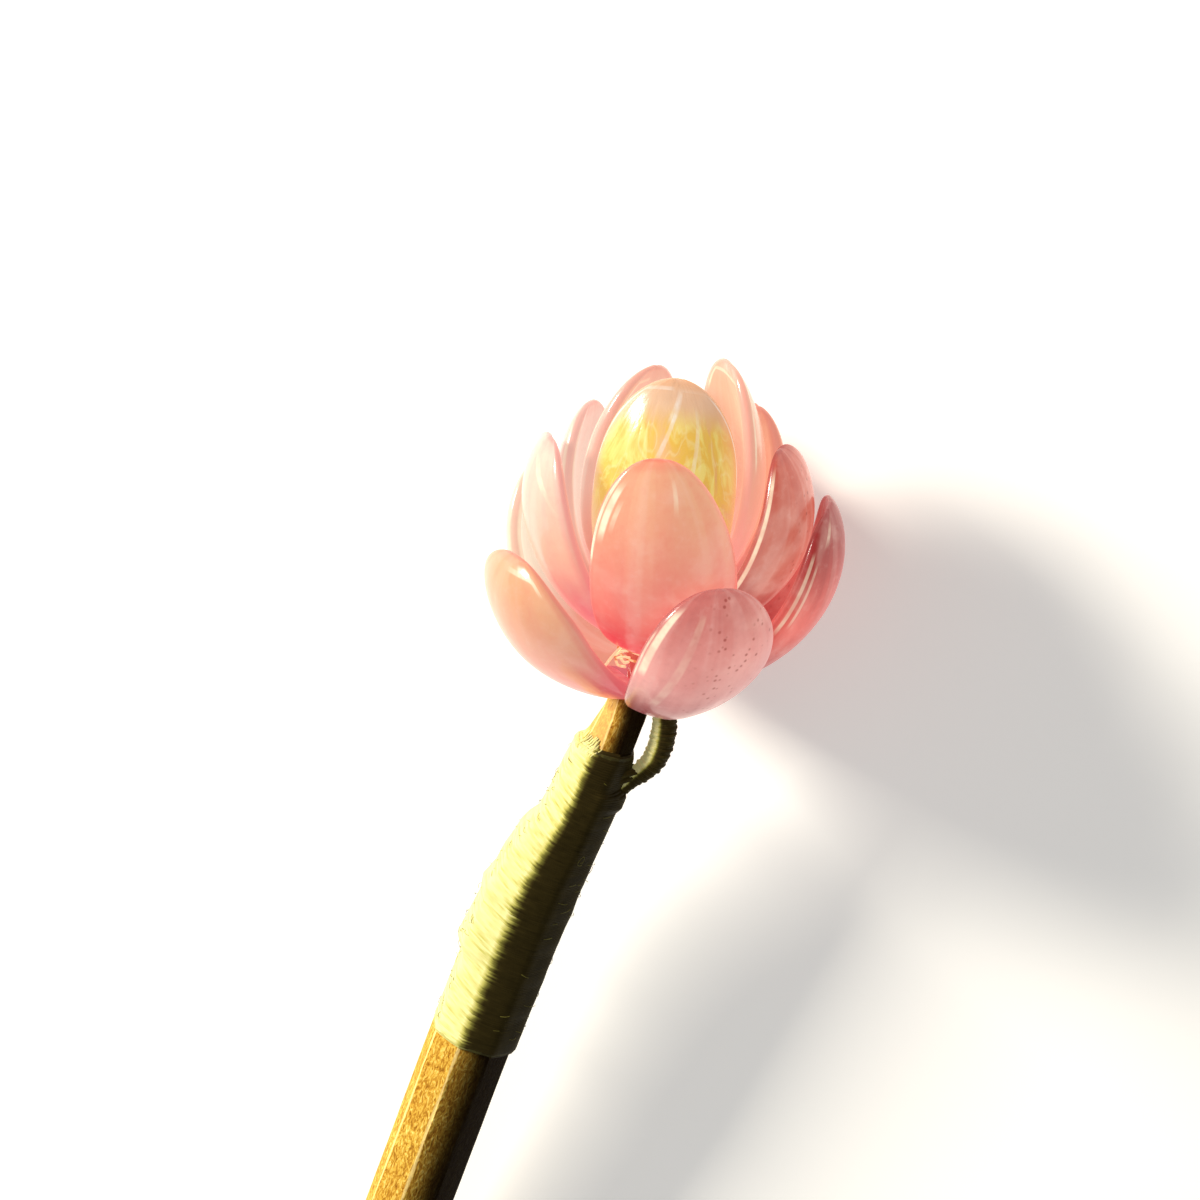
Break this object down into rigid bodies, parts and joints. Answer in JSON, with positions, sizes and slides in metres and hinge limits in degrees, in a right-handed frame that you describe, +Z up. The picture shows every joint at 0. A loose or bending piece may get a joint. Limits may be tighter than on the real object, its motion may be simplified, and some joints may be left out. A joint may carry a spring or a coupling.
{
  "type": "hair stick",
  "caption": "Faceted wooden hair stick whose head is wound with silk and carries a translucent rose glass lotus on a short bound wire stem.",
  "frame": {"origin": "middle of the underside, on the surface that the stick lies on", "axes": "+X along the stick from its point to the flower, +Z up, +Y to the left of someone who looks along +X"},
  "size_m": [0.202, 0.0332, 0.0334],
  "materials": {
    "wood": "oiled, with fine fibre flecks",
    "silk_thread": "fine satin turns",
    "post_wire": "twisted wire",
    "copper_wire": "bright",
    "yellow_glass": "translucent",
    "rose_glass": "translucent",
    "dusky_rose_glass": "translucent, with small bubbles",
    "peach_glass": "translucent",
    "clear_glass": "clear, faint rose"
  },
  "bodies": {
    "root": {"stick": "wood", "winding": "silk_thread", "stem": "silk_thread", "wire_core": "post_wire", "wire_tie": "copper_wire", "heart": "yellow_glass", "petal_outer_1": "dusky_rose_glass", "petal_outer_2": "rose_glass", "petal_outer_3": "rose_glass", "petal_outer_4": "rose_glass", "petal_outer_5": "rose_glass", "petal_outer_6": "peach_glass", "petal_middle_1": "rose_glass", "petal_middle_2": "dusky_rose_glass", "petal_middle_3": "peach_glass", "petal_middle_4": "rose_glass", "petal_middle_5": "peach_glass", "petal_middle_6": "rose_glass", "petal_inner_1": "clear_glass", "petal_inner_2": "rose_glass", "petal_inner_3": "rose_glass"}
  },
  "joints": []
}
